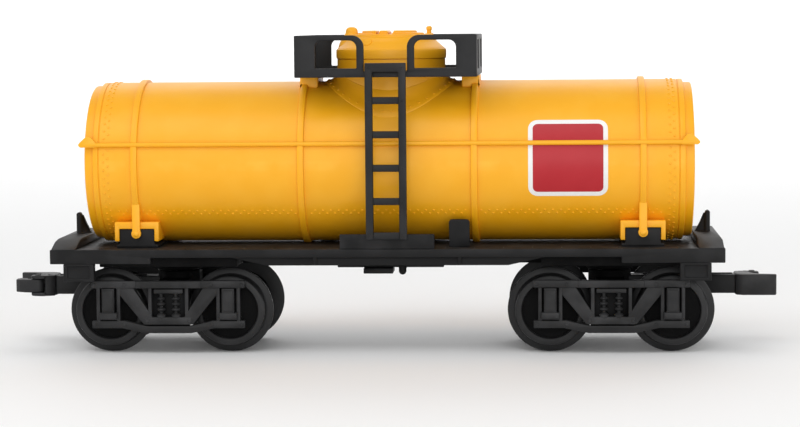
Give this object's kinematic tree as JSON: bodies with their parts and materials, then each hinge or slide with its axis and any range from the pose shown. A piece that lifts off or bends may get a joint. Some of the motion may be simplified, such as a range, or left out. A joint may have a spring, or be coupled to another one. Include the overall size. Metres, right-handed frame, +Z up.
{
  "type": "toy railway tank car",
  "caption": "Large-scale toy railway tank car: yellow riveted tank with dome and walkway on a dark deck, two swivelling trucks with free wheels and opening knuckle couplers.",
  "frame": {"origin": "middle of the car in plan, on the floor that the wheel flanges stand on", "axes": "+X along the car towards its right-hand coupler, +Y across the car away from the side with the near ladder, +Z up"},
  "size_m": [0.3254, 0.0812, 0.1364],
  "materials": {
    "tank_plastic": "satin moulded yellow",
    "frame_plastic": "matt moulded charcoal",
    "wheel_plastic": "satin moulded charcoal",
    "axle_steel": "plain steel rod"
  },
  "bodies": {
    "car_body": {"tank_barrel": "tank_plastic", "tank_bands": "tank_plastic", "tank_handrails": "tank_plastic", "strap_clips": "tank_plastic", "walkway_supports": "tank_plastic", "dome": "tank_plastic", "dome_hatch": "tank_plastic", "dome_valves": "tank_plastic", "walkway": "frame_plastic", "near_ladder": "frame_plastic", "far_ladder": "frame_plastic", "deck": "frame_plastic", "near_side_sill": "frame_plastic", "far_side_sill": "frame_plastic", "ladder_feet": "frame_plastic", "corner_steps": "frame_plastic", "end_braces": "frame_plastic", "tank_saddles": "frame_plastic", "centre_sill": "frame_plastic", "body_bolsters": "frame_plastic", "underframe_box": "frame_plastic", "frame_tabs": "frame_plastic"},
    "left_truck": {"left_near_side_frame": "frame_plastic", "left_far_side_frame": "frame_plastic", "left_bolster": "frame_plastic", "left_springs": "frame_plastic", "left_coupler": "frame_plastic"},
    "left_knuckle": {"left_knuckle": "frame_plastic"},
    "left_outer_wheelset": {"left_outer_axle": "axle_steel", "left_outer_wheels": "wheel_plastic"},
    "left_inner_wheelset": {"left_inner_axle": "axle_steel", "left_inner_wheels": "wheel_plastic"},
    "right_truck": {"right_near_side_frame": "frame_plastic", "right_far_side_frame": "frame_plastic", "right_bolster": "frame_plastic", "right_springs": "frame_plastic", "right_coupler": "frame_plastic"},
    "right_knuckle": {"right_knuckle": "frame_plastic"},
    "right_outer_wheelset": {"right_outer_axle": "axle_steel", "right_outer_wheels": "wheel_plastic"},
    "right_inner_wheelset": {"right_inner_axle": "axle_steel", "right_inner_wheels": "wheel_plastic"}
  },
  "joints": [
    {"name": "left_truck_swivel", "type": "hinge", "parent": "car_body", "child": "left_truck", "pos_m": [-0.0925, 0, 0.0288], "axis": [0, 0, 1], "range_deg": [-20, 20]},
    {"name": "left_knuckle_open", "type": "hinge", "parent": "left_truck", "child": "left_knuckle", "pos_m": [-0.1531, -0.0052, 0.0263], "axis": [0, 0, 1], "range_deg": [0, 40]},
    {"name": "left_outer_wheels_turn", "type": "hinge", "parent": "left_truck", "child": "left_outer_wheelset", "pos_m": [-0.1178, 0, 0.0178], "axis": [0, 1, 0], "continuous": true},
    {"name": "left_inner_wheels_turn", "type": "hinge", "parent": "left_truck", "child": "left_inner_wheelset", "pos_m": [-0.0672, 0, 0.0178], "axis": [0, 1, 0], "continuous": true},
    {"name": "right_truck_swivel", "type": "hinge", "parent": "car_body", "child": "right_truck", "pos_m": [0.0925, 0, 0.0288], "axis": [0, 0, 1], "range_deg": [-20, 20]},
    {"name": "right_knuckle_open", "type": "hinge", "parent": "right_truck", "child": "right_knuckle", "pos_m": [0.1531, 0.0052, 0.0263], "axis": [0, 0, 1], "range_deg": [0, 40]},
    {"name": "right_outer_wheels_turn", "type": "hinge", "parent": "right_truck", "child": "right_outer_wheelset", "pos_m": [0.1178, 0, 0.0178], "axis": [0, 1, 0], "continuous": true},
    {"name": "right_inner_wheels_turn", "type": "hinge", "parent": "right_truck", "child": "right_inner_wheelset", "pos_m": [0.0672, 0, 0.0178], "axis": [0, 1, 0], "continuous": true}
  ]
}
